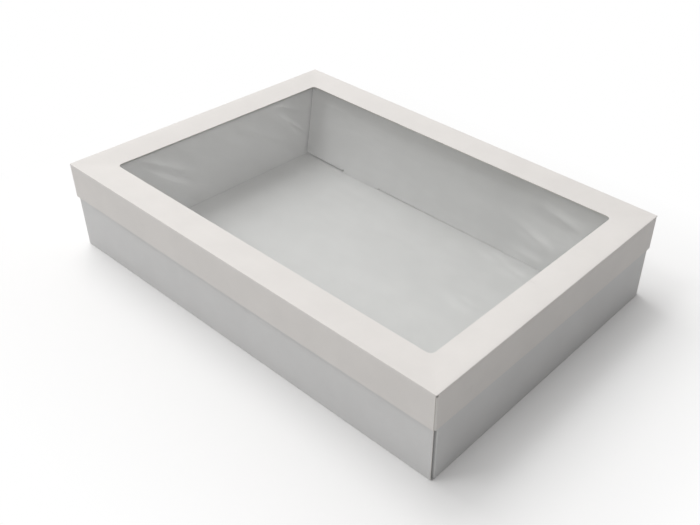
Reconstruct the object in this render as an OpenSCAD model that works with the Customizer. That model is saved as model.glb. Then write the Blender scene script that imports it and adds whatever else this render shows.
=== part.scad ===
// Grazing box: a folded board tray with slanted double walls, and a lift-off lid with a film window.
// The box stands on Z = 0, centred on the origin, with its long sides along X.

/* [Board] */
// Thickness of the board that the base and the lid are folded from
board = 0.6; // [0.4:0.05:1.2]
// Inside radius of a bend that takes a panel round a corner
bend_in_r = 0.9; // [0.3:0.1:3]

/* [Base] */
// Outside length of the base
base_l = 400; // [250:1:600]
// Outside width of the base
base_w = 278; // [180:1:420]
// Height of the base to the top of its rims
base_h = 80; // [50:1:140]
// Width of the rim along the long sides
long_rim_w = 5; // [4:0.1:12]
// Width of the rim along the ends
end_rim_w = 3.5; // [2.5:0.1:12]
// Distance from the outside of a long side to the foot of its inner wall
long_foot = 32; // [16:0.5:60]
// Distance from the outside of an end to the foot of its inner wall
end_foot = 16.5; // [8:0.5:40]
// Gap between the floor and the lower edge of a long inner wall
long_lift = 0.8; // [0.3:0.1:3]
// Gap between the floor and the lower edge of an end inner wall
end_lift = 0.3; // [0.1:0.1:2]
// Gap between the end of a long inner wall and the end wall's slant
seam_gap = 0.4; // [0.1:0.1:2]

/* [Lock tabs] */
// Width of a lock tab
tab_w = 49; // [20:1:70]
// Distance between the middles of the two tabs of a long wall
tab_spacing = 206; // [90:1:230]
// Room in a slot at each end of its tab
slot_end_gap = 2; // [0.3:0.1:4]
// Room in a slot at each face of its tab
slot_side_gap = 0.3; // [0.1:0.1:1]

/* [Corners of the base] */
// Length of a corner flap
flap_l = 60; // [20:1:90]
// Space between a corner flap and the walls on either side of it
flap_gap = 0.5; // [0.3:0.1:1]
// Height that a corner flap stays below the rim
flap_drop = 1.5; // [0.5:0.1:8]
// Distance that a long outer wall stops short of the end's outside face
corner_slit = 1.8; // [1.5:0.1:3]

/* [Lid] */
// Height of the lid over its skirt
skirt_h = 31.5; // [15:0.5:48]
// Clearance between the lid and the base on each side
lid_fit = 0.3; // [0.3:0.05:2]
// Clearance between the lid's top panel and the rims
lid_headroom = 0.4; // [0.3:0.05:3]
// Length of a lid corner flap
lid_flap_l = 42; // [20:1:80]
// Height that a lid corner flap stays short of its skirt's edges
lid_flap_drop = 1.5; // [0.5:0.1:5]
// Distance that a long skirt stops short of the lid's end face
lid_corner_slit = 1; // [0.5:0.1:2]
// Height of the small hole below the lid's corner, where the bend starts
corner_hole_h = 1.8; // [0.5:0.1:4]
// Thickness of the glue in the lid's corners
corner_glue_t = 0.1; // [0.05:0.05:0.3]
// Margin of a corner's glue inside its flap
corner_glue_margin = 4; // [1:0.5:6]

/* [Window] */
// Width of the lid's frame round the window
window_margin = 27.5; // [18:0.5:60]
// Radius of the window's corners
window_r = 6; // [2:0.5:20]
// Thickness of the film
film_t = 0.2; // [0.1:0.05:0.4]
// Overlap of the film behind the frame
film_overlap = 12; // [6:0.5:15]
// Thickness of the film's glue
film_glue_t = 0.1; // [0.05:0.05:0.3]
// Distance from the glue to the window's edge and to the film's edge
film_glue_margin = 2; // [0.5:0.5:2.5]

/* [Hidden] */
$fn = 48;

board_colour = [0.93, 0.92, 0.90];
film_colour = [0.85, 0.90, 0.93, 0.25];
glue_colour = [0.88, 0.85, 0.74];

// A crease rounds the outside of the fold by most of the board's thickness
crease_r = 0.8 * board;
bend_r = bend_in_r + board;

// Heights in the base
rim_z = base_h - board;
slant_h = rim_z - board;
long_slope = (long_foot - long_rim_w) / slant_h;
end_slope = (end_foot - end_rim_w) / slant_h;
long_foot_z = board + long_lift;
end_foot_z = board + end_lift;

// Thickness of a slanted wall, measured level
long_wall_t = board * sqrt(1 + long_slope * long_slope);
end_wall_t = board * sqrt(1 + end_slope * end_slope);

// Outside face of the base's corner flaps, and the half length of an end inner wall between them
flap_y = base_w / 2 - board - flap_gap;
end_inner_half = flap_y - board - flap_gap;
long_wall_half = base_l / 2 - corner_slit;

// Slots
slot_l = tab_w + 2 * slot_end_gap;
slot_w = long_wall_t + long_slope * board + 2 * slot_side_gap;
slot_y = base_w / 2 - long_inset(board / 2) + long_wall_t / 2;

// Lid
lid_l = base_l + 2 * (board + lid_fit);
lid_w = base_w + 2 * (2 * board + corner_glue_t + lid_fit);
lid_under = base_h + lid_headroom;
lid_top = lid_under + board;
skirt_z = lid_top - skirt_h;
skirt_drop = lid_under - skirt_z;
lid_flap_y = lid_w / 2 - board - corner_glue_t;

// Window
window_l = lid_l - 2 * window_margin;
window_w = lid_w - 2 * window_margin;
film_l = window_l + 2 * film_overlap;
film_w = window_w + 2 * film_overlap;

// Room that a cutting shape runs past the faces it cuts
past = 1;

// Distance from the outside of the box to the visible face of a slanted wall at a height
function long_inset(z) = long_foot - long_slope * (z - board);
function end_inset(z) = end_foot - end_slope * (z - board);

// An outline in Y and Z, drawn out along X
module along_x(length) {
    rotate([90, 0, 90])
        linear_extrude(length, center = true)
            children();
}

// An outline in X and Z, drawn out along Y
module along_y(length) {
    rotate([90, 0, 0])
        linear_extrude(length, center = true)
            children();
}

module to_front() {
    mirror([0, 1, 0]) children();
}

module to_left() {
    mirror([1, 0, 0]) children();
}

// The same piece at all four corners
module at_corners() {
    for (x = [0, 1], y = [0, 1])
        mirror([x, 0, 0])
            mirror([0, y, 0])
                children();
}

// Cross-section of a panel with both its upper edges rounded by a crease
module creased_section(width) {
    intersection() {
        union() {
            translate([-width / 2 + crease_r, 0])
                square([width - 2 * crease_r, board]);
            translate([-width / 2, 0])
                square([width, board - crease_r]);
            for (side = [-1, 1])
                translate([side * (width / 2 - crease_r), board - crease_r])
                    circle(crease_r);
        }
        translate([-width / 2, 0])
            square([width, board]);
    }
}

// A level panel with its four upper edges rounded
module creased_panel(length, width) {
    intersection() {
        along_x(length) creased_section(width);
        along_y(width) creased_section(length);
    }
}

module rounded_rectangle(length, width, r) {
    square([length, width - 2 * r], center = true);
    square([length - 2 * r, width], center = true);
    for (x = [-1, 1], y = [-1, 1])
        translate([x * (length / 2 - r), y * (width / 2 - r)])
            circle(r);
}

// Cross-section of a rim, from the outside face inwards, with its outer upper edge rounded
module rim_section(width) {
    intersection() {
        union() {
            translate([-width, 0])
                square([width - crease_r, board]);
            translate([-width, 0])
                square([width, board - crease_r]);
            translate([-crease_r, board - crease_r])
                circle(crease_r);
        }
        translate([-width, 0])
            square([width, board]);
    }
}

// An upright panel across an end, between the bends at its sides
module end_panel(face_x, face_y, height) {
    straight = face_y - bend_r;
    translate([face_x - board, -straight, 0])
        cube([board, 2 * straight, height]);
}

// An upright quarter bend from an end panel round to the flap behind a long side
module corner_bend(face_x, face_y, height) {
    translate([face_x - bend_r, face_y - bend_r, 0])
        linear_extrude(height)
            intersection() {
                difference() {
                    circle(bend_r);
                    circle(bend_in_r);
                }
                square(bend_r);
            }
}

// An upright flap that starts at a bend and runs back along X
module flap(face_x, face_y, length, height) {
    translate([face_x - bend_r - length, face_y - board, 0])
        cube([length, board, height]);
}

module back_outer_panel() {
    translate([-long_wall_half, base_w / 2 - board, board])
        cube([2 * long_wall_half, board, slant_h]);
}

module right_outer_panel() {
    translate([0, 0, board])
        end_panel(base_l / 2, flap_y, slant_h);
}

module back_rim_panel() {
    along_x(2 * long_wall_half)
        translate([base_w / 2, rim_z])
            rim_section(long_rim_w);
}

module right_rim_panel() {
    along_y(base_w - 2 * long_rim_w)
        translate([base_l / 2, rim_z])
            rim_section(end_rim_w);
}

// Slant of a long inner wall in Y and Z, carried down through the floor for the tabs
module long_slant_section() {
    low = base_w / 2 - long_inset(0);
    high = base_w / 2 - long_inset(rim_z);
    polygon([[low, 0], [low + long_wall_t, 0], [high + long_wall_t, rim_z], [high, rim_z]]);
}

// Outline of a long inner wall in X and Z: its ends follow the end walls' slant, and two tabs hang below
module long_wall_outline() {
    low = base_l / 2 - end_inset(long_foot_z) - seam_gap;
    high = base_l / 2 - end_inset(rim_z) - seam_gap;
    polygon([[-low, long_foot_z], [low, long_foot_z], [high, rim_z], [-high, rim_z]]);
    for (side = [-1, 1])
        translate([side * tab_spacing / 2 - tab_w / 2, 0])
            square([tab_w, long_foot_z + past]);
}

module back_inner_panel() {
    intersection() {
        along_x(base_l) long_slant_section();
        along_y(base_w) long_wall_outline();
    }
}

module right_inner_panel() {
    low = base_l / 2 - end_inset(end_foot_z);
    high = base_l / 2 - end_inset(rim_z);
    along_y(2 * end_inner_half)
        polygon([
            [low, end_foot_z],
            [low + end_wall_t, end_foot_z],
            [high + end_wall_t, rim_z],
            [high, rim_z]
        ]);
}

// Slots in the floor, one for each lock tab
module floor_slots() {
    for (x = [-1, 1], y = [-1, 1])
        translate([x * tab_spacing / 2, y * slot_y, board / 2])
            cube([slot_l, slot_w, board + 2 * past], center = true);
}

// The floor's corner is cut away where the slit between two walls comes down to it
module corner_notch() {
    translate([long_wall_half, flap_y, -past])
        cube([corner_slit + past, board + flap_gap + past, board + 2 * past]);
}

module back_skirt_panel() {
    half = lid_l / 2 - lid_corner_slit;
    translate([-half, lid_w / 2 - board, skirt_z])
        cube([2 * half, board, skirt_drop]);
}

module right_skirt_panel() {
    translate([0, 0, skirt_z])
        end_panel(lid_l / 2, lid_flap_y, skirt_drop);
}

module base_floor() {
    color(board_colour)
        difference() {
            translate([0, 0, board])
                mirror([0, 0, 1])
                    creased_panel(base_l, base_w);
            floor_slots();
            at_corners() corner_notch();
        }
}

module front_outer_wall() {
    color(board_colour) to_front() back_outer_panel();
}

module back_outer_wall() {
    color(board_colour) back_outer_panel();
}

module left_outer_wall() {
    color(board_colour) to_left() right_outer_panel();
}

module right_outer_wall() {
    color(board_colour) right_outer_panel();
}

module front_rim() {
    color(board_colour) to_front() back_rim_panel();
}

module back_rim() {
    color(board_colour) back_rim_panel();
}

module left_rim() {
    color(board_colour) to_left() right_rim_panel();
}

module right_rim() {
    color(board_colour) right_rim_panel();
}

module front_inner_wall() {
    color(board_colour) to_front() back_inner_panel();
}

module back_inner_wall() {
    color(board_colour) back_inner_panel();
}

module left_inner_wall() {
    color(board_colour) to_left() right_inner_panel();
}

module right_inner_wall() {
    color(board_colour) right_inner_panel();
}

module corner_bends() {
    color(board_colour)
        at_corners()
            translate([0, 0, board])
                corner_bend(base_l / 2, flap_y, slant_h);
}

module corner_flaps() {
    color(board_colour)
        at_corners()
            translate([0, 0, board])
                flap(base_l / 2, flap_y, flap_l, slant_h - flap_drop);
}

module lid_frame() {
    color(board_colour)
        difference() {
            translate([0, 0, lid_under])
                creased_panel(lid_l, lid_w);
            translate([0, 0, lid_under - past])
                linear_extrude(board + 2 * past)
                    rounded_rectangle(window_l, window_w, window_r);
        }
}

module lid_front_skirt() {
    color(board_colour) to_front() back_skirt_panel();
}

module lid_back_skirt() {
    color(board_colour) back_skirt_panel();
}

module lid_left_skirt() {
    color(board_colour) to_left() right_skirt_panel();
}

module lid_right_skirt() {
    color(board_colour) right_skirt_panel();
}

module lid_corner_bends() {
    color(board_colour)
        at_corners()
            translate([0, 0, skirt_z])
                corner_bend(lid_l / 2, lid_flap_y, skirt_drop - corner_hole_h);
}

module lid_corner_flaps() {
    color(board_colour)
        at_corners()
            translate([0, 0, skirt_z + lid_flap_drop])
                flap(lid_l / 2, lid_flap_y, lid_flap_l, skirt_drop - 2 * lid_flap_drop);
}

module lid_corner_glue() {
    length = lid_flap_l - 2 * corner_glue_margin;
    height = skirt_drop - 2 * (lid_flap_drop + corner_glue_margin);
    color(glue_colour)
        at_corners()
            translate([
                lid_l / 2 - bend_r - corner_glue_margin - length,
                lid_flap_y,
                skirt_z + lid_flap_drop + corner_glue_margin
            ])
                cube([length, corner_glue_t, height]);
}

module window_film() {
    color(film_colour)
        translate([-film_l / 2, -film_w / 2, lid_under - film_glue_t - film_t])
            cube([film_l, film_w, film_t]);
}

module film_glue() {
    outer = 2 * film_glue_margin;
    color(glue_colour)
        translate([0, 0, lid_under - film_glue_t])
            linear_extrude(film_glue_t)
                difference() {
                    square([film_l - outer, film_w - outer], center = true);
                    square([window_l + outer, window_w + outer], center = true);
                }
}

base_floor();
front_outer_wall();
back_outer_wall();
left_outer_wall();
right_outer_wall();
front_rim();
back_rim();
left_rim();
right_rim();
front_inner_wall();
back_inner_wall();
left_inner_wall();
right_inner_wall();
corner_bends();
corner_flaps();
lid_frame();
lid_front_skirt();
lid_back_skirt();
lid_left_skirt();
lid_right_skirt();
lid_corner_bends();
lid_corner_flaps();
lid_corner_glue();
window_film();
film_glue();
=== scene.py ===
"""Looks of a grazing box: a folded board tray with a lift-off lid that has a film window.

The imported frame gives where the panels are. The pieces made here are the same panels as sheets of
folded board, with round folds, raw cut edges and a lid that sags towards its window, and the
slack film under that window.
"""

import math
from types import SimpleNamespace

import bpy
import numpy as np
from mathutils import Matrix, Vector


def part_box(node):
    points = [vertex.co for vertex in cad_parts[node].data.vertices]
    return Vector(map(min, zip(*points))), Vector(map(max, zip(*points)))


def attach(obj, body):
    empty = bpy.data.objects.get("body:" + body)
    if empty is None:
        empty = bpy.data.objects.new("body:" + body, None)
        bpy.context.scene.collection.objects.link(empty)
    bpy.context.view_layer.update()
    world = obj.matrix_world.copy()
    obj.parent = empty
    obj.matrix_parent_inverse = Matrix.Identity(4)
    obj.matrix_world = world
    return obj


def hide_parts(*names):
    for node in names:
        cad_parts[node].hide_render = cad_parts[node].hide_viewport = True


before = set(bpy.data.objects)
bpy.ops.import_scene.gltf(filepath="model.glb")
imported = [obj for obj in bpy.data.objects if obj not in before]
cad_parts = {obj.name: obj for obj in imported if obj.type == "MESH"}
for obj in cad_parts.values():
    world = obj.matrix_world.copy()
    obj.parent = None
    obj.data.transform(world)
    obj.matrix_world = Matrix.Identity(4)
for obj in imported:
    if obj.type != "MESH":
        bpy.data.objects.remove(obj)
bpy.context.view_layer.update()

bl_info = {
    "name": "Grazing Box",
    "version": (1, 0, 0),
    "blender": (4, 5, 0),
    "location": "3D View > Sidebar > Grazing Box",
    "description": "Builds the looks of a folded board grazing box round its packed frame",
    "category": "Object",
}

MM = 0.001
TINY = 1e-6
WHITE = (1.0, 1.0, 1.0, 1.0)

# The point attribute that marks folds, and the angle from which an edge is shaded as sharp.
FOLD = "fold"
SHARP_ANGLE = math.radians(35)

# The height of a lock tab's end, and how far an end lining stops short of the corner flaps' outer
# faces, in board thicknesses.
TAB_END = 0.4
LINING_ROOM = 1.2
# The room left for a corner bend and for the fold over an end's rim, in their radii.
BEND_ROOM = 1.1
FOLD_ROOM = 1.3

# The power by which the gap under a long inner wall opens. A notch beside a tab is level over the
# first share of its width, and columns nearer than the second share belong to that level part.
FOOT_GAP_POWER = 3.5
NOTCH_TOP = 0.85
NOTCH_LIMIT = 0.9

# The power that rounds off the sag at the lid's corners, and the least distance it is used with.
CORNER_POWER = 6.0
LEAST_INSET = MM / 100

# The photo's width in pixels, and the camera's sensor in millimetres and clipping in metres.
PICTURE_W = 700
SENSOR_W = 36.0
CLIP_START = 0.05
CLIP_END = 50.0

# Half the floor's side, how far from the box it turns white, and the colour that the box sees.
FLOOR_HALF = 6.0
SHADOW_REACH = 0.16
FLOOR_BOUNCE = (0.80, 0.80, 0.80, 1.0)


def read_frame():
    """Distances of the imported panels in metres, read from the corners of their boxes."""
    floor_low, floor_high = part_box("base_floor")
    rim_low, rim_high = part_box("back_rim")
    end_rim_low, end_rim_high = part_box("right_rim")
    long_low, long_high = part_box("back_inner_wall")
    end_low, end_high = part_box("right_inner_wall")
    end_wall_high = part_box("right_outer_wall")[1]
    bend_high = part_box("corner_bends")[1]
    lid_low, lid_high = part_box("lid_frame")
    skirt_low, skirt_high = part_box("lid_back_skirt")
    lid_bend_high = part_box("lid_corner_bends")[1]
    lid_flap_low, lid_flap_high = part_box("lid_corner_flaps")
    film_low, film_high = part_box("window_film")
    glue_low, glue_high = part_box("film_glue")
    return SimpleNamespace(
        board=floor_high.z - floor_low.z,
        half_l=floor_high.x,
        half_w=floor_high.y,
        rim_top=rim_high.z,
        long_rim_y=rim_low.y,
        end_rim_x=end_rim_low.x,
        end_rim_half=end_rim_high.y,
        slant_top=long_high.z,
        tab_foot_y=long_low.y,
        long_slope=(rim_low.y - long_low.y) / (long_high.z - long_low.z),
        long_top_half=long_high.x,
        end_foot=end_low.z,
        end_slope=(end_rim_low.x - end_low.x) / (end_high.z - end_low.z),
        flap_y=bend_high.y,
        bend_r=bend_high.y - end_wall_high.y,
        flap_top=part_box("corner_flaps")[1].z,
        lid_half_l=lid_high.x,
        lid_half_w=lid_high.y,
        lid_top=lid_high.z,
        lid_under=lid_low.z,
        skirt_low=skirt_low.z,
        skirt_half_l=skirt_high.x,
        lid_flap_y=lid_bend_high.y,
        lid_bend_top=lid_bend_high.z,
        lid_flap_low=lid_flap_low.z,
        lid_flap_top=lid_flap_high.z,
        film_half_l=film_high.x,
        film_half_w=film_high.y,
        film_top=film_high.z,
        film_t=film_high.z - film_low.z,
        glue_half_l=glue_high.x,
        glue_t=glue_high.z - glue_low.z,
    )


cad = read_frame()


def length_mm(name, size, description):
    """A length setting, with its default in millimetres."""
    return bpy.props.FloatProperty(
        name=name, description=description, default=size * MM, unit="LENGTH"
    )


def angle_deg(name, size, description):
    """An angle setting, with its default in degrees."""
    return bpy.props.FloatProperty(
        name=name, description=description, default=math.radians(size), subtype="ANGLE"
    )


def rgb(name, default, description):
    """A colour setting, with its default in linear light."""
    return bpy.props.FloatVectorProperty(
        name=name, description=description, default=default, subtype="COLOR"
    )


class BoardSizes(bpy.types.PropertyGroup):
    """Sizes of the folded board that the panels' corners don't give."""

    fold_radius: length_mm("Fold radius", 0.9, "Outside radius of a fold over a rim")
    tab_width: length_mm("Tab width", 49, "Width of a lock tab")
    tab_spacing: length_mm(
        "Tab spacing", 206, "Distance between the middles of a long wall's two lock tabs"
    )
    foot_gap_left: length_mm(
        "Foot gap, left", 2.6, "Gap between the floor and a long inner wall at its left end"
    )
    foot_gap_right: length_mm(
        "Foot gap, right", 0.3, "Gap between the floor and a long inner wall at its right end"
    )
    notch_width: length_mm("Notch width", 2.6, "Width of the relief notch on either side of a lock tab")
    notch_height: length_mm(
        "Notch height",
        1.8,
        "Height of the relief notch on either side of a lock tab, were it at the wall's open end",
    )
    seam: length_mm(
        "Inner seam",
        1.0,
        "How much shorter than its panel a long inner wall is at each end, where its seam gapes",
    )
    corner_gape: length_mm(
        "Corner gape",
        1.7,
        "How far the base's corner flaps stand in from their panels, which opens the corner slits",
    )
    corner_bend: length_mm(
        "Corner bend", 1.0, "Outside radius of a bend from an end wall into its corner flap"
    )
    flap_length: length_mm("Corner flap", 60, "Length of a corner flap of the base")
    lid_flap_length: length_mm("Lid corner flap", 42, "Length of a corner flap of the lid")
    wall_bow: length_mm("Wall bow", 0.6, "How far a slanted inner wall bows into the tray at its middle")
    skirt_bow: length_mm("Skirt bow", 0.4, "How far the lower edge of a lid skirt bows out at its middle")


class WindowSizes(bpy.types.PropertyGroup):
    """Sizes of the lid's window, of the sag round it and of its film."""

    margin: length_mm("Frame width", 27.5, "Width of the lid's frame round the window")
    corner_radius: length_mm("Window corner", 4.5, "Radius of the window's corners")
    lid_corner_radius: length_mm("Lid corner", 0.7, "Radius of the top panel's outer corners")
    edge_radius: length_mm("Edge rounding", 0.55, "Radius of the fold along the top panel's outer edge")
    sag: length_mm("Sag", 1.8, "How far the lid's top panel sags at the window's edge")
    sag_ease: length_mm(
        "Sag ease", 8, "Distance from the lid's edge in which the sag comes to its even slope"
    )
    level_off: length_mm(
        "Film level-off",
        2.5,
        "Distance inside the window in which the film's slope falls to about a third",
    )
    glue_margin: length_mm("Glue margin", 2, "Distance from the film's glue to the window's edge")
    ripple: length_mm(
        "Film wrinkles", 0.9, "Height of a wrinkle whose share is 1, near the window's ends"
    )


class BoxColours(bpy.types.PropertyGroup):
    """Colours of the box's finishes and of the floor it stands on."""

    lid_board: rgb("Lid board", (0.785, 0.760, 0.737), "Colour of the lid's coated board")
    base_board: rgb("Base board", (0.715, 0.715, 0.713), "Colour of the base's coated board")
    cut_edge: rgb("Cut edge", (0.90, 0.87, 0.83), "Colour of the board's core, where it is cut")
    film: rgb("Film", (0.985, 0.988, 0.985), "Tint of the clear film")
    glue: rgb("Glue", (0.72, 0.66, 0.50), "Colour of the dried glue")
    floor: rgb("Floor", (0.96, 0.96, 0.96), "Colour of the studio floor")


class StudioView(bpy.types.PropertyGroup):
    """Place and lens of the camera."""

    location: bpy.props.FloatVectorProperty(
        name="Location",
        description="Where the camera stands",
        default=(0.4293, -0.4421, 0.4550),
        subtype="TRANSLATION",
        unit="LENGTH",
    )
    azimuth: angle_deg("Azimuth", 37.64, "Angle of the view from the front, round to the right")
    elevation: angle_deg("Elevation", 35.91, "Angle of the view above the floor")
    roll: angle_deg("Roll", 3.66, "Tilt of the picture about the line of sight")
    focal_px: bpy.props.FloatProperty(
        name="Focal length",
        description="Focal length in pixels of a picture 700 pixels wide",
        default=865.7,
        subtype="PIXEL",
    )
    centre_px: bpy.props.FloatProperty(
        name="Optical centre",
        description="Column of the picture that the line of sight meets",
        default=440.0,
        subtype="PIXEL",
    )


class GrazingBoxSettings(bpy.types.PropertyGroup):
    """Everything that the box's operators read."""

    board: bpy.props.PointerProperty(name="Board", description="Folded board", type=BoardSizes)
    window: bpy.props.PointerProperty(name="Window", description="Window and film", type=WindowSizes)
    colours: bpy.props.PointerProperty(name="Colours", description="Finishes", type=BoxColours)
    view: bpy.props.PointerProperty(name="View", description="Camera", type=StudioView)


def smooth_step(share):
    """3 s squared less 2 s cubed, level before s = 0 and after s = 1."""
    share = np.clip(share, 0.0, 1.0)
    return share * share * (3.0 - 2.0 * share)


def folded_section(corners, radius, panel_steps, arc_steps=6):
    """A section through folded board that turns left at every corner.

    Straight panels run from corner to corner, and an arc of the given radius touches both panels
    at each fold. It starts the radius times the tangent of half the turn before the corner. The
    normal is the direction of travel turned a quarter to the right. Returns the points, their
    normals and each point's panel number, which is a whole number on a panel and runs up to the
    next one round a fold."""
    corners = np.asarray(corners, float)
    ways = np.diff(corners, axis=0)
    ways /= np.linalg.norm(ways, axis=1)[:, None]
    rights = np.column_stack([ways[:, 1], -ways[:, 0]])
    before, after = ways[:-1], ways[1:]
    crosses = before[:, 0] * after[:, 1] - before[:, 1] * after[:, 0]
    turns = np.arctan2(crosses, (before * after).sum(1))
    trims = radius * np.tan(turns / 2)
    starts = corners[:-1] + ways * np.r_[0.0, trims][:, None]
    ends = corners[1:] - ways * np.r_[trims, 0.0][:, None]
    points, normals, panels = [], [], []
    for panel, steps in enumerate(panel_steps):
        share = np.linspace(0.0, 1.0, steps + 1)[:, None]
        points.append(starts[panel] + (ends[panel] - starts[panel]) * share)
        normals.append(np.repeat(rights[panel : panel + 1], steps + 1, axis=0))
        panels.append(np.full(steps + 1, float(panel)))
        if panel < len(turns):
            part = np.linspace(0.0, 1.0, arc_steps + 1)[1:-1]
            angle = part * turns[panel]
            across, along = rights[panel], ways[panel]
            arc_normals = np.cos(angle)[:, None] * across + np.sin(angle)[:, None] * along
            points.append(ends[panel] - across * radius + arc_normals * radius)
            normals.append(arc_normals)
            panels.append(panel + part)
    return np.concatenate(points), np.concatenate(normals), np.concatenate(panels)


def fold_share(panels):
    """1 on a fold, where the panel number isn't whole, and 0 on a panel."""
    return (panels != np.round(panels)).astype(float)


def sheet_shape(points, normals, thickness, fold, keep=None):
    """A sheet of board, closed round the grid of points that is its visible face.

    The hidden face is the grid moved back along its normals by the thickness. Every edge that only
    one kept quad has gets a quad from face to face, which is a raw cut."""
    rows, cols = points.shape[:2]
    count = rows * cols
    index = np.arange(count).reshape(rows, cols)
    quads = np.stack([index[:-1, :-1], index[:-1, 1:], index[1:, 1:], index[1:, :-1]], axis=-1)
    quads = quads.reshape(-1, 4) if keep is None else quads[keep]
    edges = np.stack([quads, np.roll(quads, -1, axis=1)], axis=-1).reshape(-1, 2)
    ordered = np.sort(edges, axis=1)
    _, first, uses = np.unique(ordered, axis=0, return_index=True, return_counts=True)
    rim = edges[first[uses == 1]]
    sides = np.column_stack([rim[:, 1], rim[:, 0], rim[:, 0] + count, rim[:, 1] + count])
    back = points - normals * thickness
    return SimpleNamespace(
        points=np.concatenate([points.reshape(-1, 3), back.reshape(-1, 3)]),
        quads=np.concatenate([quads, quads[:, ::-1] + count, sides]),
        cut=np.r_[np.zeros(2 * len(quads), np.int32), np.ones(len(sides), np.int32)],
        fold=np.tile(np.broadcast_to(fold, (rows, cols)).ravel(), 2),
    )


def ring_shape(points, cut_rows, fold):
    """A closed section carried round a closed path: both directions of the grid join up."""
    rows, cols = points.shape[:2]
    index = np.arange(rows * cols).reshape(rows, cols)
    after = np.roll(index, -1, axis=1)
    corners = [index, after, np.roll(after, -1, axis=0), np.roll(index, -1, axis=0)]
    quads = np.stack(corners, axis=-1)
    return SimpleNamespace(
        points=points.reshape(-1, 3),
        quads=quads.reshape(-1, 4),
        cut=np.repeat(np.asarray(cut_rows, np.int32), cols),
        fold=np.repeat(fold, cols),
    )


def half_turn(shape):
    """The same shape turned by half a turn about the Z axis."""
    turned = SimpleNamespace(**vars(shape))
    turned.points = shape.points * (-1.0, -1.0, 1.0)
    return turned


def rounded_rectangle_path(long_steps, end_steps, corner_steps):
    """The columns of a path round a rounded rectangle, anticlockwise from above.

    Each column has a place on the inner rectangle that the corners' centres make, as shares of its
    half sizes, and the angle at which the path stands out from it by the corner radius."""
    signs = [(1.0, 1.0), (-1.0, 1.0), (-1.0, -1.0), (1.0, -1.0)]
    share_x, share_y, angles = [], [], []
    for quarter, (sign_x, sign_y) in enumerate(signs):
        next_x, next_y = signs[(quarter + 1) % 4]
        start = quarter * math.pi / 2
        arc = np.linspace(start, start + math.pi / 2, corner_steps + 1)
        steps = long_steps if sign_y == next_y else end_steps
        part = np.linspace(0.0, 1.0, steps + 1)[1:-1]
        share_x.append(np.r_[np.full(len(arc), sign_x), sign_x + (next_x - sign_x) * part])
        share_y.append(np.r_[np.full(len(arc), sign_y), sign_y + (next_y - sign_y) * part])
        angles.append(np.r_[arc, np.full(len(part), arc[-1])])
    return np.concatenate(share_x), np.concatenate(share_y), np.concatenate(angles)


def rounded_inset(x, y):
    """Distance from the lid's edge, rounded off where its ends and its long sides meet.

    It is the sum of both distances' powers of minus six, to the power of minus a sixth."""
    from_end = np.maximum(cad.lid_half_l - np.abs(x), LEAST_INSET)
    from_side = np.maximum(cad.lid_half_w - np.abs(y), LEAST_INSET)
    return (from_end**-CORNER_POWER + from_side**-CORNER_POWER) ** (-1.0 / CORNER_POWER)


def sag_at(x, y, window):
    """Sag of the lid at a place, by its distance from the edge.

    It is a hyperbola, level at the edge and then an even slope. Inside the window the film runs on
    at that slope and levels off, by an exponential, within a few millimetres."""
    inset = rounded_inset(x, y)
    inside = np.maximum(inset - window.margin, 0.0)
    run_on = window.level_off * (1.0 - np.exp(-inside / window.level_off))
    held = np.minimum(inset, window.margin) + run_on
    at_window = np.hypot(window.margin, window.sag_ease) - window.sag_ease
    return window.sag / at_window * (np.hypot(held, window.sag_ease) - window.sag_ease)


def frame_ring(inset, height, window):
    """A band on the lid's top panel: each row is a rounded rectangle at its inset and height.

    Its corner radius grows evenly from the lid's corner to the window's, and it takes the lid's
    sag."""
    share_x, share_y, angle = rounded_rectangle_path(long_steps=60, end_steps=44, corner_steps=10)
    grown = window.corner_radius - window.lid_corner_radius
    radius = (window.lid_corner_radius + grown * inset / window.margin)[:, None]
    half_l = (cad.lid_half_l - inset)[:, None] - radius
    half_w = (cad.lid_half_w - inset)[:, None] - radius
    x = half_l * share_x + radius * np.cos(angle)
    y = half_w * share_y + radius * np.sin(angle)
    return np.stack([x, y, height[:, None] - sag_at(x, y, window)], axis=-1)


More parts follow.
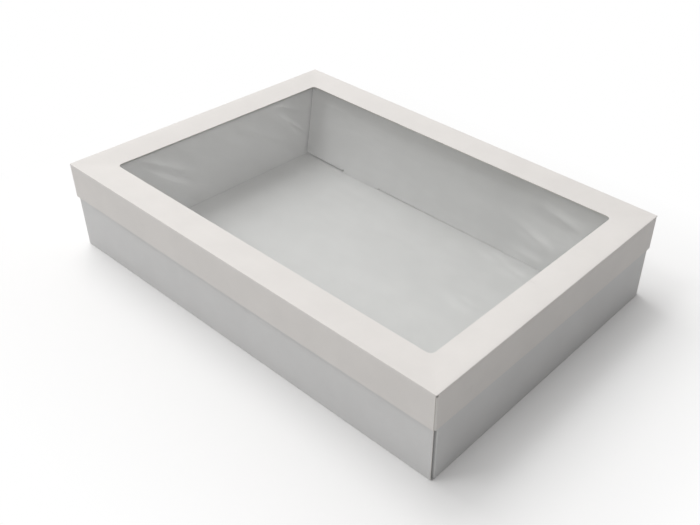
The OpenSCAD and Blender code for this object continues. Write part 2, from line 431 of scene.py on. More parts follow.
def long_side(board):
    """The back long side: a section in Y and Z, carried along X.

    The section runs up the outer wall, over the rim and down the slanted inner wall to its foot and
    on to the ends of its lock tabs. Rows on the inner wall end short of the end walls' slant. The
    wall bows into the tray by half a wave along X times half a wave of the height. The gap under
    its foot closes from the left to the right by a power of the distance."""
    slant_y = cad.long_rim_y + cad.long_slope * (cad.rim_top - cad.slant_top)
    foot = cad.board + (board.foot_gap_left + board.foot_gap_right) / 2
    corners = [
        (cad.half_w, cad.board),
        (cad.half_w, cad.rim_top),
        (slant_y, cad.rim_top),
        (cad.tab_foot_y + cad.long_slope * foot, foot),
    ]
    steps = (10, 2, 16)
    section, section_normals, panels = folded_section(corners, board.fold_radius, steps)
    tab_end = TAB_END * cad.board
    section = np.vstack([section, (cad.tab_foot_y + cad.long_slope * tab_end, tab_end)])
    section_normals = np.vstack([section_normals, section_normals[-1]])
    panels = np.r_[panels, panels[-1]]
    y, z = section.T

    tab_middles = np.array([-0.5, 0.5]) * board.tab_spacing
    tab_edges = np.add.outer(tab_middles, np.array([-0.5, 0.5]) * board.tab_width)
    body_half = board.tab_spacing / 2 + board.tab_width
    outward = np.array([-1.0, 1.0])
    notch_top = tab_edges + outward * board.notch_width * NOTCH_TOP
    notch_end = tab_edges + outward * board.notch_width
    body_columns, end_columns = 45, 6
    body_x = np.linspace(-body_half, body_half, body_columns)
    body_x = np.unique(np.r_[body_x, tab_edges.ravel(), notch_top.ravel(), notch_end.ravel()])
    end_part = np.linspace(0.0, 1.0, end_columns + 1)[1:]
    end_x = np.full(end_columns, body_half)
    column_x = np.r_[end_x, body_x[::-1], -end_x]
    column_part = np.r_[end_part[::-1], np.zeros(len(body_x)), end_part]
    slant_half = cad.long_top_half - board.seam - cad.end_slope * (cad.slant_top - z)
    on_slant = np.clip(panels - 1.0, 0.0, 1.0)
    wall_half = cad.half_l - BEND_ROOM * board.corner_bend
    half = wall_half + (slant_half - wall_half) * on_slant
    x = column_x + np.sign(column_x) * column_part * (half[:, None] - body_half)

    points = np.stack(np.broadcast_arrays(x, y[:, None], z[:, None]), axis=-1).copy()
    opening = np.clip(0.5 - x[-2] / (2 * half[-2]), 0.0, 1.0) ** FOOT_GAP_POWER
    rise = board.foot_gap_right + (board.foot_gap_left - board.foot_gap_right) * opening
    from_tab = np.abs(np.abs(x[-2]) - board.tab_spacing / 2) - board.tab_width / 2
    in_notch = (from_tab > -TINY) & (from_tab < NOTCH_LIMIT * board.notch_width)
    points[-2, :, 2] = cad.board + rise + board.notch_height * opening * in_notch
    points[-2, :, 1] = cad.tab_foot_y + cad.long_slope * points[-2, :, 2]
    normals = np.zeros_like(points)
    normals[..., 1:] = section_normals[:, None, :]
    height = np.clip(z / cad.slant_top, 0.0, 1.0)[:, None]
    along = np.cos(np.pi * x / (2 * half[:, None]))
    bow = board.wall_bow * on_slant[:, None] * np.sin(np.pi * height) * along
    points += normals * bow[..., None]

    keep = np.ones((len(z) - 1, len(column_x) - 1), bool)
    middle_x = (column_x[1:] + column_x[:-1]) / 2
    keep[-1] = np.any([(middle_x > low) & (middle_x < high) for low, high in tab_edges], axis=0)
    keep[-1] &= (column_part[1:] == 0) & (column_part[:-1] == 0)
    return sheet_shape(points, normals, cad.board, fold_share(panels)[:, None], keep)


def end_band(wall_x, flap_y, bend_r, flap_length, levels, flap_levels, bend_levels, bow):
    """The right end's upright panel with its flaps: a path in X and Y, carried up the levels.

    The path runs along the front flap, round the bend, across the end, round the other bend and
    along the back flap. Quads outside the flaps' or the bends' own levels are left out. The end
    bows out by half a wave along Y, most at its lower edge."""
    flap_x = wall_x - bend_r - flap_length
    corners = [(flap_x, -flap_y), (wall_x, -flap_y), (wall_x, flap_y), (flap_x, flap_y)]
    steps = (6, 40, 6)
    path, path_normals, panels = folded_section(corners, bend_r, steps, arc_steps=8)
    levels = np.asarray(levels)
    shape = (len(levels), len(path), 3)
    points = np.zeros(shape)
    points[..., :2] = path
    points[..., 2] = levels[:, None]
    normals = np.zeros(shape)
    normals[..., :2] = path_normals
    drop = (levels[-1] - levels) / (levels[-1] - levels[0])
    share_y = np.clip(path[:, 1] / (flap_y - bend_r), -1.0, 1.0)
    out = bow * drop[:, None] * np.cos(np.pi * share_y / 2) * (panels == 1.0)
    points += normals * out[..., None]

    middle_z = ((levels[1:] + levels[:-1]) / 2)[:, None]
    middle_panel = (panels[1:] + panels[:-1]) / 2
    on_flap = np.isin(middle_panel, (0.0, 2.0))
    on_bend = ~on_flap & (middle_panel != 1.0)
    in_flap = (middle_z > flap_levels[0]) & (middle_z < flap_levels[1])
    in_bend = (middle_z > bend_levels[0]) & (middle_z < bend_levels[1])
    keep = np.where(on_flap, in_flap, np.where(on_bend, in_bend, True))
    return sheet_shape(points, normals, cad.board, fold_share(panels)[None, :], keep)


def end_wall_top(board):
    """Height at which an end's outer wall hands over to its lining, just below the rim's fold."""
    return cad.rim_top - FOLD_ROOM * board.fold_radius


def end_lining(board):
    """The right end's rim and slanted inner wall: a section in X and Z, carried along Y.

    The section starts at the top of the outer wall, folds over the rim and runs down the slant. The
    rim ends at the long rims, and below it the wall widens to reach behind the long inner walls. It
    bows into the tray by half a wave along Y times half a wave of the height."""
    rim_drop = cad.rim_top - cad.slant_top
    slant_x = cad.end_rim_x + cad.end_slope * rim_drop
    foot_x = cad.end_rim_x - cad.end_slope * (cad.slant_top - cad.end_foot)
    corners = [
        (cad.half_l, end_wall_top(board)),
        (cad.half_l, cad.rim_top),
        (slant_x, cad.rim_top),
        (foot_x, cad.end_foot),
    ]
    steps = (1, 2, 20)
    section, section_normals, panels = folded_section(corners, board.fold_radius, steps)
    x, z = section.T
    shoulder = smooth_step((cad.slant_top - rim_drop - z) / (2 * rim_drop))
    inner_half = cad.flap_y - board.corner_gape - LINING_ROOM * cad.board
    half = cad.end_rim_half + (inner_half - cad.end_rim_half) * shoulder
    columns = 49
    share = np.linspace(-1.0, 1.0, columns)
    y = half[:, None] * share
    points = np.stack(np.broadcast_arrays(x[:, None], y, z[:, None]), axis=-1).copy()
    normals = np.zeros_like(points)
    normals[..., 0] = section_normals[:, :1]
    normals[..., 2] = section_normals[:, 1:]
    on_slant = np.clip(panels - 1.0, 0.0, 1.0)[:, None]
    along = np.cos(np.pi * share / 2)
    bow = board.wall_bow * on_slant * np.sin(np.pi * z / cad.rim_top)[:, None] * along
    points += normals * bow[..., None]
    return sheet_shape(points, normals, cad.board, fold_share(panels)[:, None])


def lid_top_panel(window):
    """The lid's top panel: a closed section carried round the window.

    The section runs up the outer edge and round its fold, in along the sagging top to the window,
    down the cut and back out along the underside, which is the board's thickness below the top."""
    fold_rows, top_rows = 6, 25
    angle = np.linspace(0.0, np.pi / 2, fold_rows)
    round_in = window.edge_radius * (1.0 - np.cos(angle))
    round_down = window.edge_radius * (1.0 - np.sin(angle))
    run = np.linspace(window.edge_radius, window.margin, top_rows)
    top_inset = np.r_[round_in, run[1:]]
    top_drop = np.r_[round_down, np.zeros(len(run) - 1)]
    under_inset = np.r_[run[::-1], 0.0]
    inset = np.r_[top_inset, under_inset]
    under_drop = np.full(len(under_inset), cad.board)
    height = cad.lid_top - np.r_[top_drop, under_drop]
    cut_rows = np.zeros(len(inset))
    cut_rows[len(top_inset) - 1] = 1
    fold = smooth_step(1.0 - inset / (3 * window.edge_radius))
    return ring_shape(frame_ring(inset, height, window), cut_rows, fold)


def long_skirt(board):
    """The back long skirt: an upright grid in X and Z.

    Its lower edge bows out by half a wave along X, and the bow fades out evenly up to the top."""
    columns, rows = 61, 11
    share = np.linspace(1.0, -1.0, columns)
    part = np.linspace(0.0, 1.0, rows)
    x = cad.skirt_half_l * share
    z = cad.skirt_low + (cad.lid_under - cad.skirt_low) * part
    out = board.skirt_bow * (1.0 - part[:, None]) * np.cos(np.pi * share / 2)
    points = np.stack(np.broadcast_arrays(x, cad.lid_half_w + out, z[:, None]), axis=-1)
    normals = np.zeros(points.shape)
    normals[..., 1] = 1.0
    fold = smooth_step(1.0 - (cad.lid_under - z) / (2 * cad.board))
    return sheet_shape(points, normals, cad.board, fold[:, None])


# One wrinkle of the film each: x and y of its middle in millimetres, slope as y over x, reach along
# x and width along y in millimetres, and height as a share of the film's ripple.
WRINKLES = (
    (-121, -98, 0.17, 27, 6.0, 0.90),
    (-142, -85, 0.35, 22, 6.0, 0.65),
    (-104, -107, 0.15, 22, 6.0, 0.80),
    (-128, 41, -0.18, 28, 5.0, 1.50),
    (-132, 8, 0.06, 24, 6.0, 0.75),
    (-160, 60, 0.22, 14, 5.0, 0.60),
    (-120, 92, -0.10, 24, 6.0, 0.70),
    (143, 45, -0.32, 18, 6.0, 1.00),
    (134, 4, -0.18, 12, 5.0, 0.80),
    (148, 20, -0.05, 16, 6.0, 0.85),
    (162, -4, 0.00, 12, 5.0, 0.75),
    (152, -56, -0.18, 16, 5.5, 0.75),
    (140, 84, -0.20, 20, 6.0, 0.70),
)


def film_sheet(window):
    """The film: a level grid that takes the lid's sag, with soft wrinkles near its two ends.

    Each wrinkle is a ridge along a slanting line. Across the line its height is a bell curve, and
    along it a wider bell curve. All of them fade out at the window's edge."""
    columns, rows = 221, 181
    x = cad.film_half_l * np.linspace(-1.0, 1.0, columns)
    y = cad.film_half_w * np.linspace(-1.0, 1.0, rows)[:, None]
    inset = np.minimum(cad.lid_half_l - np.abs(x), cad.lid_half_w - np.abs(y))
    inside = smooth_step((inset - window.margin) / (3 * window.corner_radius))
    wrinkles = np.zeros((y.size, x.size))
    for middle_x, middle_y, slope, reach, width, height in WRINKLES:
        along = x - middle_x * MM
        across = y - middle_y * MM - slope * along
        wrinkles += height * np.exp(-((across / (width * MM)) ** 2) - (along / (reach * MM)) ** 2)
    z = cad.film_top - sag_at(x, y, window) + window.ripple * wrinkles * inside
    points = np.stack(np.broadcast_arrays(x, y, z), axis=-1)
    normals = np.zeros(points.shape)
    normals[..., 2] = 1.0
    return sheet_shape(points, normals, cad.film_t, np.zeros((1, 1)))


def glue_band(window):
    """The film's glue: a thin closed band under the lid's frame, with the frame's sag.

    Each row is a rounded rectangle, first on the frame's underside and then the glue's thickness
    below it."""
    low_inset = cad.lid_half_l - cad.glue_half_l
    rows = 9
    run = np.linspace(low_inset, window.margin - window.glue_margin, rows)
    inset = np.r_[run, run[::-1]]
    drop = np.r_[np.zeros(len(run)), np.full(len(run), cad.glue_t)]
    height = cad.lid_under - drop
    return ring_shape(frame_ring(inset, height, window), np.zeros(len(inset)), np.zeros(len(inset)))


def add_piece(context, name, body, nodes, shape, materials):
    """Makes a shape into a piece that rides on a body and stands for the nodes it covers."""
    used, quads = np.unique(shape.quads, return_inverse=True)
    quads = quads.reshape(-1, 4)
    mesh = bpy.data.meshes.new(name)
    mesh.from_pydata(shape.points[used].tolist(), [], quads.tolist())
    for material in materials:
        mesh.materials.append(material)
    cut = np.minimum(shape.cut, len(materials) - 1)
    mesh.polygons.foreach_set("material_index", cut.astype(np.int32))
    mesh.polygons.foreach_set("use_smooth", np.ones(len(quads), bool))
    fold = mesh.attributes.new(FOLD, "FLOAT", "POINT")
    fold.data.foreach_set("value", shape.fold[used].astype(np.float32))
    mesh.set_sharp_from_angle(angle=SHARP_ANGLE)
    mesh.update()
    piece = bpy.data.objects.new(name, mesh)
    context.scene.collection.objects.link(piece)
    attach(piece, body)
    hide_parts(*nodes)


class NodeBench:
    """Adds shader nodes to a tree and links them up."""

    def __init__(self, tree):
        self.tree = tree

    def add(self, kind, inputs=None, **settings):
        """A node of a kind with its settings, its inputs set to values or linked to sockets."""
        node = self.tree.nodes.new(kind)
        for key, value in settings.items():
            setattr(node, key, value)
        for key, value in (inputs or {}).items():
            self.feed(node.inputs[key], value)
        return node

    def feed(self, socket, value):
        """Links a socket to another one, or sets its value."""
        if isinstance(value, bpy.types.NodeSocket):
            self.tree.links.new(value, socket)
        else:
            socket.default_value = value

    def place(self):
        """The place on the object, in metres."""
        return self.add("ShaderNodeTexCoord").outputs["Object"]

    def seen(self):
        """1 where the camera looks, and 0 for light."""
        return self.add("ShaderNodeLightPath").outputs["Is Camera Ray"]

    def scaled(self, vector, scale):
        """A vector scaled along each axis."""
        return self.add("ShaderNodeMapping", {"Vector": vector, "Scale": scale}).outputs["Vector"]

    def noise(self, vector, scale, detail):
        """The height of a noise texture with features one metre over the scale in size."""
        inputs = {"Vector": vector, "Scale": scale, "Detail": detail}
        return self.add("ShaderNodeTexNoise", inputs).outputs["Fac"]

    def span(self, value, of, to):
        """A value carried evenly from the first range to the second, and held at both ends."""
        inputs = {"From Min": of[0], "From Max": of[1], "To Min": to[0], "To Max": to[1]}
        inputs["Value"] = value
        return self.add("ShaderNodeMapRange", inputs, clamp=True).outputs["Result"]

    def sums(self, operation, first, second):
        """Two values put together by an operation."""
        return self.add("ShaderNodeMath", {0: first, 1: second}, operation=operation).outputs[0]

    def vectors(self, operation, first, second=None):
        """One or two vectors put through an operation."""
        inputs = {0: first} if second is None else {0: first, 1: second}
        return self.add("ShaderNodeVectorMath", inputs, operation=operation)

    def blend(self, share, first, second):
        """One colour turned into another by a share."""
        node = self.add("ShaderNodeMix", data_type="RGBA")
        sockets = {socket.identifier: socket for socket in (*node.inputs, *node.outputs)}
        self.feed(sockets["Factor_Float"], share)
        self.feed(sockets["A_Color"], first)
        self.feed(sockets["B_Color"], second)
        return sockets["Result_Color"]

    def bump(self, height, strength, distance):
        """A normal roughened by a height over a distance in millimetres."""
        inputs = {"Strength": strength, "Distance": distance * MM, "Height": height}
        return self.add("ShaderNodeBump", inputs).outputs["Normal"]

    def principled(self, **inputs):
        """The common surface shader, with underscores for the spaces in its inputs' names."""
        named = {key.replace("_", " "): value for key, value in inputs.items()}
        return self.add("ShaderNodeBsdfPrincipled", named).outputs["BSDF"]

    def mix(self, share, first, second):
        """One shader turned into another by a share."""
        return self.add("ShaderNodeMixShader", {0: share, 1: first, 2: second}).outputs["Shader"]

    def show(self, surface):
        """Ends a material's tree with a shader."""
        self.add("ShaderNodeOutputMaterial", {"Surface": surface})


def new_material(name):
    """An empty node material and a bench to fill it."""
    material = bpy.data.materials.new(name)
    material.use_nodes = True
    material.node_tree.nodes.clear()
    return material, NodeBench(material.node_tree)


def shaded(colour, factor):
    """A colour made lighter or darker by a factor, with full alpha."""
    return tuple(channel * factor for channel in colour) + (1.0,)


def coated_board(name, colour):
    """White coated board.

    Soft clouds a few centimetres wide and a fine fibre of about a millimetre vary its tone, folds
    are drawn a little lighter, and a few faint handling marks darken it. Roughness follows the
    clouds and the bump the fibre."""
    material, bench = new_material(name)
    place = bench.place()
    clouds = bench.noise(place, scale=38.0, detail=3.0)
    stretched = bench.scaled(place, (0.45, 1.0, 1.0))
    fibre = bench.noise(stretched, scale=1400.0, detail=2.0)
    marks = bench.noise(stretched, scale=70.0, detail=5.0)
    fold = bench.add("ShaderNodeAttribute", attribute_name=FOLD).outputs["Fac"]

    cloud_share = bench.span(clouds, of=(0.35, 0.65), to=(0.0, 1.0))
    tone = bench.blend(cloud_share, shaded(colour, 0.975), shaded(colour, 1.015))
    fibre_share = bench.span(fibre, of=(0.3, 0.7), to=(0.0, 0.35))
    tone = bench.blend(fibre_share, tone, shaded(colour, 0.955))
    # Folds are drawn a little lighter, broken up by the fibre.
    lighter_on_folds = bench.sums("MULTIPLY", fold, bench.span(fibre, of=(0.35, 0.6), to=(0.15, 0.6)))
    tone = bench.blend(lighter_on_folds, tone, shaded(colour, 1.06))
    mark_share = bench.span(marks, of=(0.70, 0.78), to=(0.0, 0.16))
    tone = bench.blend(mark_share, tone, shaded(colour, 0.55))
    surface = bench.principled(
        Base_Color=tone,
        Roughness=bench.span(clouds, of=(0.3, 0.7), to=(0.50, 0.62)),
        Specular_IOR_Level=0.35,
        Normal=bench.bump(fibre, strength=0.25, distance=0.15),
    )
    bench.show(surface)
    return material


def cut_board(name, colour):
    """The raw cut of the board: its core, in thin layers along the cut and with a fine grain."""
    material, bench = new_material(name)
    place = bench.place()
    layers = bench.noise(bench.scaled(place, (0.2, 0.2, 5.0)), scale=900.0, detail=2.0)
    grain = bench.noise(place, scale=2500.0, detail=2.0)
    layer_share = bench.span(layers, of=(0.3, 0.7), to=(0.0, 1.0))
    tone = bench.blend(layer_share, shaded(colour, 0.86), shaded(colour, 1.12))
    grain_share = bench.span(grain, of=(0.35, 0.65), to=(0.0, 0.4))
    tone = bench.blend(grain_share, tone, shaded(colour, 0.75))
    surface = bench.principled(
        Base_Color=tone,
        Roughness=0.85,
        Specular_IOR_Level=0.2,
        Normal=bench.bump(grain, strength=0.5, distance=0.1),
    )
    bench.show(surface)
    return material


def clear_film(name, colour):
    """Clear gloss film: see-through, glossy at a slant, with a faint streaky bloom."""
    material, bench = new_material(name)
    drawn = bench.scaled(bench.place(), (0.22, 1.0, 1.0))
    streaks = bench.noise(drawn, scale=42.0, detail=4.0)
    clear = bench.add("ShaderNodeBsdfTransparent", {"Color": shaded(colour, 1.0)})
    gloss = bench.add("ShaderNodeBsdfGlossy", {"Color": WHITE, "Roughness": 0.16})
    slant = bench.add("ShaderNodeLayerWeight", {"Blend": 0.5}).outputs["Facing"]
    mirrored = bench.span(bench.sums("POWER", slant, 5.0), of=(0.0, 1.0), to=(0.04, 1.0))
    pane = bench.mix(mirrored, clear.outputs["BSDF"], gloss.outputs["BSDF"])
    bloom = bench.principled(
        Base_Color=shaded(colour, 0.95), Roughness=0.3, Specular_IOR_Level=0.5
    )
    bloom_share = bench.span(streaks, of=(0.45, 0.75), to=(0.006, 0.03))
    bench.show(bench.mix(bloom_share, pane, bloom))
    return material


def dried_glue(name, colour):
    """Dried glue: a cloudy, slightly glossy yellowish smear."""
    material, bench = new_material(name)
    smear = bench.noise(bench.place(), scale=160.0, detail=4.0)
    smear_share = bench.span(smear, of=(0.3, 0.7), to=(0.0, 1.0))
    surface = bench.principled(
        Base_Color=bench.blend(smear_share, shaded(colour, 0.85), shaded(colour, 1.15)),
        Roughness=bench.span(smear, of=(0.3, 0.7), to=(0.3, 0.5)),
        Normal=bench.bump(smear, strength=0.4, distance=0.1),
    )
    bench.show(surface)
    return material


def finish(context, name):
    """The box's finish of that name, made when it is first asked for."""
    found = bpy.data.materials.get(name)
    if found is not None:
        return found
    colours = context.scene.grazing_box.colours
    makers = {
        "lid_board_face": (coated_board, colours.lid_board),
        "base_board_face": (coated_board, colours.base_board),
        "board_cut_edge": (cut_board, colours.cut_edge),
        "window_film_clear": (clear_film, colours.film),
        "dried_glue": (dried_glue, colours.glue),
    }
    maker, colour = makers[name]
    return maker(name, colour)


def board_finishes(context, body):
    """The finishes of a body's board: its coated face and its raw cut."""
    return [finish(context, f"{body}_board_face"), finish(context, "board_cut_edge")]


def add_pair(context, body, name, places, nodes, shape):
    """Adds a sheet of a body's board at one place, and the same sheet turned round at the other.

    The name and the nodes have braces where the place goes."""
    materials = board_finishes(context, body)
    for place, sheet in zip(places, (shape, half_turn(shape))):
        covered = [node.format(place) for node in nodes]
        add_piece(context, name.format(place), body, covered, sheet, materials)


def refinish(node, material):
    """Gives a panel that is kept from the frame a new material."""
    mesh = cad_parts[node].data
    mesh.materials.clear()
    mesh.materials.append(material)


class GRAZING_BOX_OT_base_floor(bpy.types.Operator):
    """Finish the floor panel of the base"""

    bl_idname = "grazing_box.base_floor"
    bl_label = "Floor Panel"

    def execute(self, context):
        refinish("base_floor", finish(context, "base_board_face"))
        return {"FINISHED"}


class GRAZING_BOX_OT_long_sides(bpy.types.Operator):
    """Fold the two long sides of the base, with their slanted inner walls and lock tabs"""

    bl_idname = "grazing_box.long_sides"
    bl_label = "Long Sides"

    def execute(self, context):
        back = long_side(context.scene.grazing_box.board)
        nodes = ("{}_outer_wall", "{}_rim", "{}_inner_wall")
        add_pair(context, "base", "{}_side", ("back", "front"), nodes, back)
        return {"FINISHED"}


class GRAZING_BOX_OT_end_walls(bpy.types.Operator):
    """Bend the two end walls of the base round into their corner flaps"""

    bl_idname = "grazing_box.end_walls"
    bl_label = "End Walls"

    def execute(self, context):
        board = context.scene.grazing_box.board
        flap_rows = 12
        levels = np.r_[np.linspace(cad.board, cad.flap_top, flap_rows), end_wall_top(board)]
        right = end_band(
            cad.half_l,
            cad.flap_y - board.corner_gape,
            board.corner_bend,
            board.flap_length,
            levels,
            flap_levels=(cad.board, cad.flap_top),
            bend_levels=(cad.board, end_wall_top(board)),
            bow=0.0,
        )
        nodes = ("{}_outer_wall", "corner_bends", "corner_flaps")
        add_pair(context, "base", "{}_end_wall", ("right", "left"), nodes, right)
        return {"FINISHED"}


class GRAZING_BOX_OT_end_linings(bpy.types.Operator):
    """Fold the rims and slanted inner walls of the two ends"""

    bl_idname = "grazing_box.end_linings"
    bl_label = "End Linings"

    def execute(self, context):
        right = end_lining(context.scene.grazing_box.board)
        nodes = ("{}_rim", "{}_inner_wall")
        add_pair(context, "base", "{}_end_lining", ("right", "left"), nodes, right)
        return {"FINISHED"}


class GRAZING_BOX_OT_lid_top(bpy.types.Operator):
    """Shape the lid's sagging top panel round its window"""

    bl_idname = "grazing_box.lid_top"
    bl_label = "Lid Top"

    def execute(self, context):
        shape = lid_top_panel(context.scene.grazing_box.window)
        materials = board_finishes(context, "lid")
        add_piece(context, "lid_top_panel", "lid", ["lid_frame"], shape, materials)
        return {"FINISHED"}


class GRAZING_BOX_OT_lid_long_skirts(bpy.types.Operator):
    """Shape the two long skirts of the lid"""

    bl_idname = "grazing_box.lid_long_skirts"
    bl_label = "Lid Long Skirts"

    def execute(self, context):
        back = long_skirt(context.scene.grazing_box.board)
        nodes = ("lid_{}_skirt",)
        add_pair(context, "lid", "lid_{}_panel", ("back", "front"), nodes, back)
        return {"FINISHED"}


class GRAZING_BOX_OT_lid_end_skirts(bpy.types.Operator):
    """Bend the two end skirts of the lid round into their corner flaps"""

    bl_idname = "grazing_box.lid_end_skirts"
    bl_label = "Lid End Skirts"

    def execute(self, context):
        board = context.scene.grazing_box.board
        flap_rows = 9
        levels = np.r_[
            cad.skirt_low,
            np.linspace(cad.lid_flap_low, cad.lid_bend_top, flap_rows),
            cad.lid_flap_top,
            cad.lid_under,
        ]
        right = end_band(
            cad.lid_half_l,
            cad.lid_flap_y,
            cad.bend_r,
            board.lid_flap_length,
            levels,
            flap_levels=(cad.lid_flap_low, cad.lid_flap_top),
            bend_levels=(cad.skirt_low, cad.lid_bend_top),
            bow=board.skirt_bow,
        )
        nodes = ("lid_{}_skirt", "lid_corner_bends", "lid_corner_flaps")
        add_pair(context, "lid", "lid_{}_panel", ("right", "left"), nodes, right)
        return {"FINISHED"}


class GRAZING_BOX_OT_window(bpy.types.Operator):
    """Hang the film under the window"""

    bl_idname = "grazing_box.window"
    bl_label = "Window Film"

    def execute(self, context):
        film = film_sheet(context.scene.grazing_box.window)
        materials = [finish(context, "window_film_clear")]
        add_piece(context, "clear_film", "lid", ["window_film"], film, materials)
        return {"FINISHED"}


class GRAZING_BOX_OT_glue(bpy.types.Operator):
    """Lay the film's glue, and finish the glue in the lid's corners"""

    bl_idname = "grazing_box.glue"
    bl_label = "Glue"

    def execute(self, context):
        glue = finish(context, "dried_glue")
        band = glue_band(context.scene.grazing_box.window)
        add_piece(context, "film_glue_band", "lid", ["film_glue"], band, [glue])
        refinish("lid_corner_glue", glue)
        return {"FINISHED"}


def soft_lamp(context, name, place, target, size, power):
    """A square soft lamp that points at the target and shows no mirror image in the film."""
    lamp = bpy.data.lights.new(name, "AREA")
    lamp.size = size
    lamp.energy = power
    stand = bpy.data.objects.new(name, lamp)
    stand.location = place
    line = Vector(target) - Vector(place)
    stand.rotation_euler = line.to_track_quat("-Z", "Y").to_euler()
    stand.visible_glossy = False
    stand.visible_camera = False
    context.scene.collection.objects.link(stand)


def studio_floor_material(colour):
    """A plain pale floor that gives the box less light back than it shows.

    It turns white away from the box: the share of white grows evenly with the distance from the
    rectangle that the box stands on."""
    material, bench = new_material("studio_floor")
    seen = bench.seen()
    tone = bench.blend(seen, FLOOR_BOUNCE, shaded(colour, 1.0))
    paper = bench.principled(Base_Color=tone, Roughness=0.9, Specular_IOR_Level=0.1)
    either_side = bench.vectors("ABSOLUTE", bench.place()).outputs["Vector"]
    half_sizes = (cad.half_l, cad.half_w, 0.0)
    past_sides = bench.vectors("SUBTRACT", either_side, half_sizes).outputs["Vector"]
    outside = bench.vectors("MAXIMUM", past_sides, (0.0, 0.0, 0.0)).outputs["Vector"]
    distance = bench.vectors("LENGTH", outside).outputs["Value"]
    far_share = bench.span(distance, of=(0.0, SHADOW_REACH), to=(0.0, 1.0))
    whiteness = bench.sums("MULTIPLY", seen, far_share)
    white = bench.add("ShaderNodeEmission", {"Color": WHITE, "Strength": 1.0})
    bench.show(bench.mix(whiteness, paper, white.outputs["Emission"]))
    return material


# One lobe of sky light each: its direction, the cosine of the angle at which it fades out, the
# cosine from which it is full, and its strength.
SKY_LOBES = (
    ((-0.511, 0.264, 0.818), 0.89, 0.97, 0.70),
    ((0.0, -0.6, 0.8), 0.3, 1.0, 0.62),
    ((0.0, 0.94, 0.34), 0.3, 1.0, 0.67),
    ((-0.99, 0.0, 0.1), 0.5, 1.0, 1.27),
    ((-0.280, 0.831, 0.481), 0.978, 0.996, 0.80),
    ((-0.779, 0.499, 0.380), 0.987, 0.999, 0.28),
)
SKY_TINT = (1.0, 0.99, 0.98, 1.0)


def studio_sky(context):
    """Soft light from above and from the sides, a sum of lobes, and a white backdrop."""
    world = bpy.data.worlds.new("studio_sky")
    world.use_nodes = True
    world.node_tree.nodes.clear()
    bench = NodeBench(world.node_tree)
    way = bench.add("ShaderNodeTexCoord").outputs["Generated"]
    total = 0.0
    for direction, dark_edge, full_edge, strength in SKY_LOBES:
        nearness = bench.vectors("DOT_PRODUCT", way, direction).outputs["Value"]
        lobe = bench.span(nearness, of=(dark_edge, full_edge), to=(0.0, strength))
        total = bench.sums("ADD", lobe, total)
    glow = bench.add("ShaderNodeBackground", {"Color": SKY_TINT, "Strength": total})
    backdrop = bench.add("ShaderNodeBackground", {"Color": WHITE, "Strength": 1.0})
    sky = bench.mix(bench.seen(), glow.outputs["Background"], backdrop.outputs["Background"])
    bench.add("ShaderNodeOutputWorld", {"Surface": sky})
    context.scene.world = world


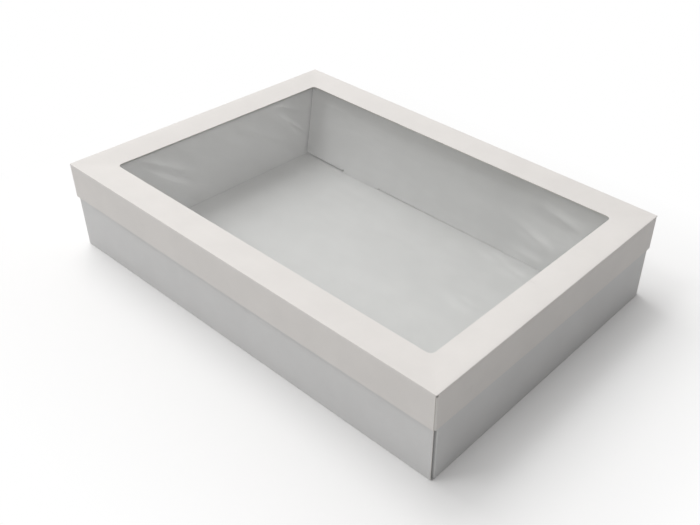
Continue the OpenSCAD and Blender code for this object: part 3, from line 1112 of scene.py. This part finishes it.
class GRAZING_BOX_OT_stage(bpy.types.Operator):
    """Set the pale floor, the soft studio light and the camera"""

    bl_idname = "grazing_box.stage"
    bl_label = "Stage"

    def execute(self, context):
        settings = context.scene.grazing_box
        self.lay_floor(context, settings.colours.floor)
        studio_sky(context)
        middle = (0.0, 0.0, cad.rim_top / 2)
        key_place = (-0.80, 0.10, 1.60)
        soft_lamp(context, "key_lamp", key_place, middle, size=0.9, power=8.6)
        front_place = (-0.40, -0.75, 1.60)
        soft_lamp(context, "front_lamp", front_place, middle, size=0.45, power=4.5)
        self.place_camera(context, settings.view)
        context.scene.view_settings.view_transform = "Standard"
        return {"FINISHED"}

    def lay_floor(self, context, colour):
        """A square floor under the box."""
        half = FLOOR_HALF
        mesh = bpy.data.meshes.new("studio_floor")
        corners = [(-half, -half, 0.0), (half, -half, 0.0), (half, half, 0.0), (-half, half, 0.0)]
        mesh.from_pydata(corners, [], [(0, 1, 2, 3)])
        mesh.materials.append(studio_floor_material(colour))
        floor = bpy.data.objects.new("studio_floor", mesh)
        context.scene.collection.objects.link(floor)

    def place_camera(self, context, view):
        """Stands the camera at its place and turns it by azimuth, elevation and roll."""
        tilt = Matrix.Rotation(math.pi / 2 - view.elevation, 4, "X")
        turn = Matrix.Rotation(view.azimuth, 4, "Z") @ tilt @ Matrix.Rotation(view.roll, 4, "Z")
        camera = bpy.data.cameras.new("camera")
        camera.sensor_width = SENSOR_W
        camera.lens = view.focal_px / PICTURE_W * SENSOR_W
        camera.shift_x = (PICTURE_W / 2 - view.centre_px) / PICTURE_W
        camera.clip_start = CLIP_START
        camera.clip_end = CLIP_END
        stand = bpy.data.objects.new("camera", camera)
        stand.matrix_world = Matrix.Translation(view.location) @ turn
        context.scene.collection.objects.link(stand)
        context.scene.camera = stand


PIECES = (
    GRAZING_BOX_OT_base_floor,
    GRAZING_BOX_OT_long_sides,
    GRAZING_BOX_OT_end_walls,
    GRAZING_BOX_OT_end_linings,
    GRAZING_BOX_OT_lid_top,
    GRAZING_BOX_OT_lid_long_skirts,
    GRAZING_BOX_OT_lid_end_skirts,
    GRAZING_BOX_OT_window,
    GRAZING_BOX_OT_glue,
    GRAZING_BOX_OT_stage,
)


class GRAZING_BOX_PT_panel(bpy.types.Panel):
    """Lists the box's pieces and sizes"""

    bl_idname = "GRAZING_BOX_PT_panel"
    bl_label = "Grazing Box"
    bl_space_type = "VIEW_3D"
    bl_region_type = "UI"
    bl_category = "Grazing Box"

    def draw(self, context):
        settings = context.scene.grazing_box
        for operator in PIECES:
            self.layout.operator(operator.bl_idname)
        for group in (settings.board, settings.window, settings.colours, settings.view):
            box = self.layout.box()
            for key in group.bl_rna.properties.keys():
                if key not in {"rna_type", "name"}:
                    box.prop(group, key)


SETTINGS = (BoardSizes, WindowSizes, BoxColours, StudioView, GrazingBoxSettings)
CLASSES = (*SETTINGS, *PIECES, GRAZING_BOX_PT_panel)


def register():
    """Makes the settings, the operators and the panel known to Blender."""
    for cls in CLASSES:
        bpy.utils.register_class(cls)
    bpy.types.Scene.grazing_box = bpy.props.PointerProperty(type=GrazingBoxSettings)


def unregister():
    """Takes them away again."""
    del bpy.types.Scene.grazing_box
    for cls in reversed(CLASSES):
        bpy.utils.unregister_class(cls)


def main():
    """Builds every piece and the stage."""
    register()
    bpy.ops.grazing_box.base_floor()
    bpy.ops.grazing_box.long_sides()
    bpy.ops.grazing_box.end_walls()
    bpy.ops.grazing_box.end_linings()
    bpy.ops.grazing_box.lid_top()
    bpy.ops.grazing_box.lid_long_skirts()
    bpy.ops.grazing_box.lid_end_skirts()
    bpy.ops.grazing_box.window()
    bpy.ops.grazing_box.glue()
    bpy.ops.grazing_box.stage()


if __name__ == "__main__":
    main()
